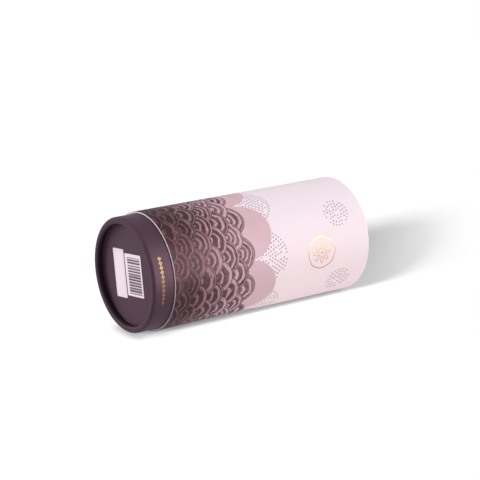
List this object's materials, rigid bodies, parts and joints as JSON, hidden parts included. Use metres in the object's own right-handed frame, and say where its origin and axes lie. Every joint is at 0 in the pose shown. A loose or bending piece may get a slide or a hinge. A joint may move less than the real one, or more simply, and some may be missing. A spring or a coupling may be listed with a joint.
{
  "type": "cylindrical gift tube box",
  "caption": "Slender paper-board tube box: a printed cover with a closed top slides down over a container and leaves its dark foot band bare; both ends are recessed in curled rims.",
  "frame": {"origin": "centre of the base rim, on the surface that the upright tube stands on", "axes": "+Z along the tube's axis, from the base to the cover's closed top; -Y towards the front, where the emblem is; +X completes the right-handed frame"},
  "size_m": [0.088, 0.088, 0.1914],
  "materials": {
    "board": "raw wound board",
    "printed_paper": "printed, matt laminated",
    "plum_paper": "dark plum, matt laminated",
    "lining_paper": "uncoated white",
    "label_paper": "coated sticker"
  },
  "bodies": {
    "container": {"container_tube": "board", "container_wrap": "plum_paper", "container_lining": "lining_paper", "base_facing": "plum_paper", "base_disc": "board", "base_lining": "lining_paper", "barcode_label": "label_paper", "blank_label": "label_paper"},
    "cover": {"cover_tube": "board", "cover_wrap": "printed_paper", "cover_lining": "lining_paper", "cover_top_facing": "printed_paper", "cover_top_disc": "board", "cover_top_lining": "lining_paper"}
  },
  "joints": [
    {"name": "cover_slide", "type": "slide", "parent": "container", "child": "cover", "axis": [0, 0, 1], "range_m": [0, 0.26]}
  ]
}
